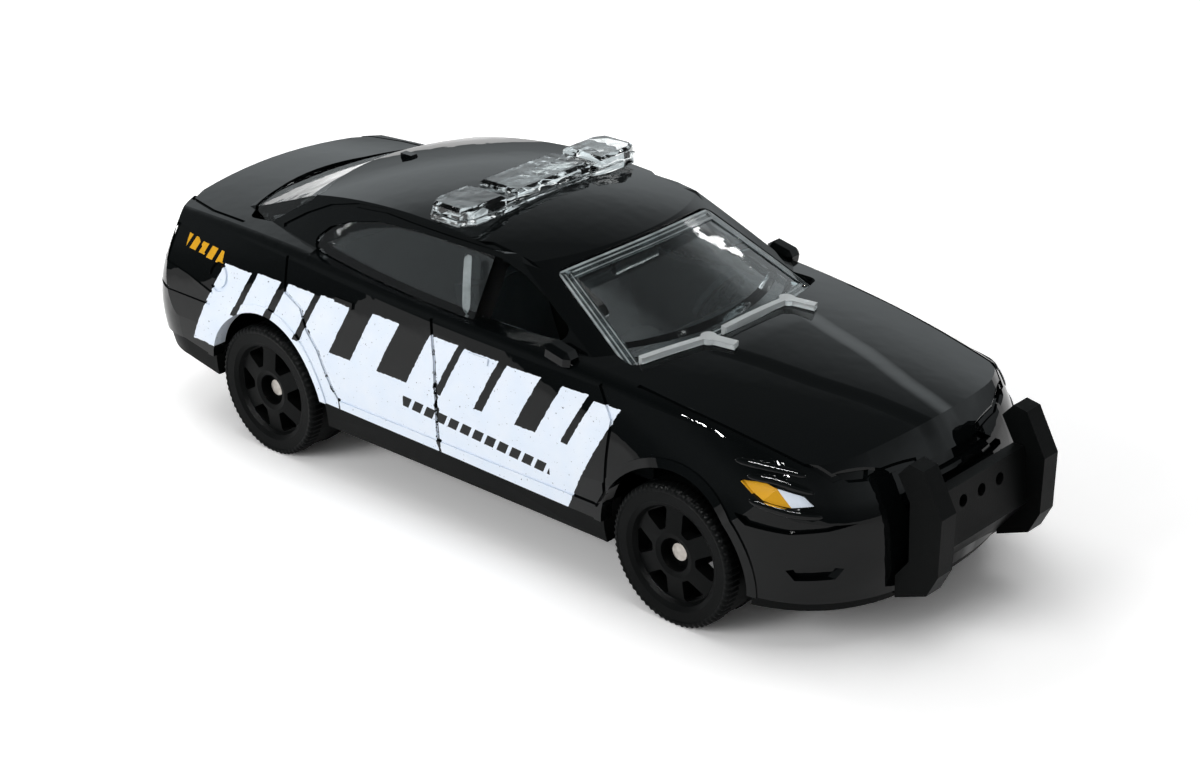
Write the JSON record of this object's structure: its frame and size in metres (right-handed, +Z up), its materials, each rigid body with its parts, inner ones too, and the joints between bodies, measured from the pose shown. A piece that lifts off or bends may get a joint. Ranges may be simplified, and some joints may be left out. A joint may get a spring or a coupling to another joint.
{
  "type": "die-cast toy police saloon",
  "caption": "Small die-cast toy police saloon: black shell, clear glazing with roof light bar, push bumper and free-rolling one-piece wheels.",
  "frame": {"origin": "on the floor, midway between the axles and on the car's centre plane", "axes": "+X forward, +Y to the car's left, +Z up; rest pose: standing on its wheels"},
  "size_m": [0.0768, 0.0284, 0.0235],
  "materials": {
    "enamelled_body": "gloss black enamel on die-cast zinc with printed white and amber panels",
    "clear_styrene": "clear injection-moulded polystyrene, polished",
    "interior_plastic": "matt black moulded plastic",
    "chassis_plastic": "satin black moulded plastic",
    "axle_steel": "drawn steel wire with headed ends",
    "wheel_plastic": "matt black moulded plastic"
  },
  "bodies": {
    "car": {"body_shell": "enamelled_body", "glazing": "clear_styrene", "interior": "interior_plastic", "base": "chassis_plastic", "axle_front": "axle_steel", "axle_rear": "axle_steel"},
    "wheel_front_right": {"wheel_front_right": "wheel_plastic"},
    "wheel_front_left": {"wheel_front_left": "wheel_plastic"},
    "wheel_rear_right": {"wheel_rear_right": "wheel_plastic"},
    "wheel_rear_left": {"wheel_rear_left": "wheel_plastic"}
  },
  "joints": [
    {"name": "wheel_front_right_spin", "type": "hinge", "parent": "car", "child": "wheel_front_right", "pos_m": [0.02115, -0.0118, 0.00524], "axis": [0, 1, 0], "continuous": true},
    {"name": "wheel_front_left_spin", "type": "hinge", "parent": "car", "child": "wheel_front_left", "pos_m": [0.02115, 0.0118, 0.00524], "axis": [0, 1, 0], "continuous": true},
    {"name": "wheel_rear_right_spin", "type": "hinge", "parent": "car", "child": "wheel_rear_right", "pos_m": [-0.02115, -0.0118, 0.00524], "axis": [0, 1, 0], "continuous": true},
    {"name": "wheel_rear_left_spin", "type": "hinge", "parent": "car", "child": "wheel_rear_left", "pos_m": [-0.02115, 0.0118, 0.00524], "axis": [0, 1, 0], "continuous": true}
  ]
}
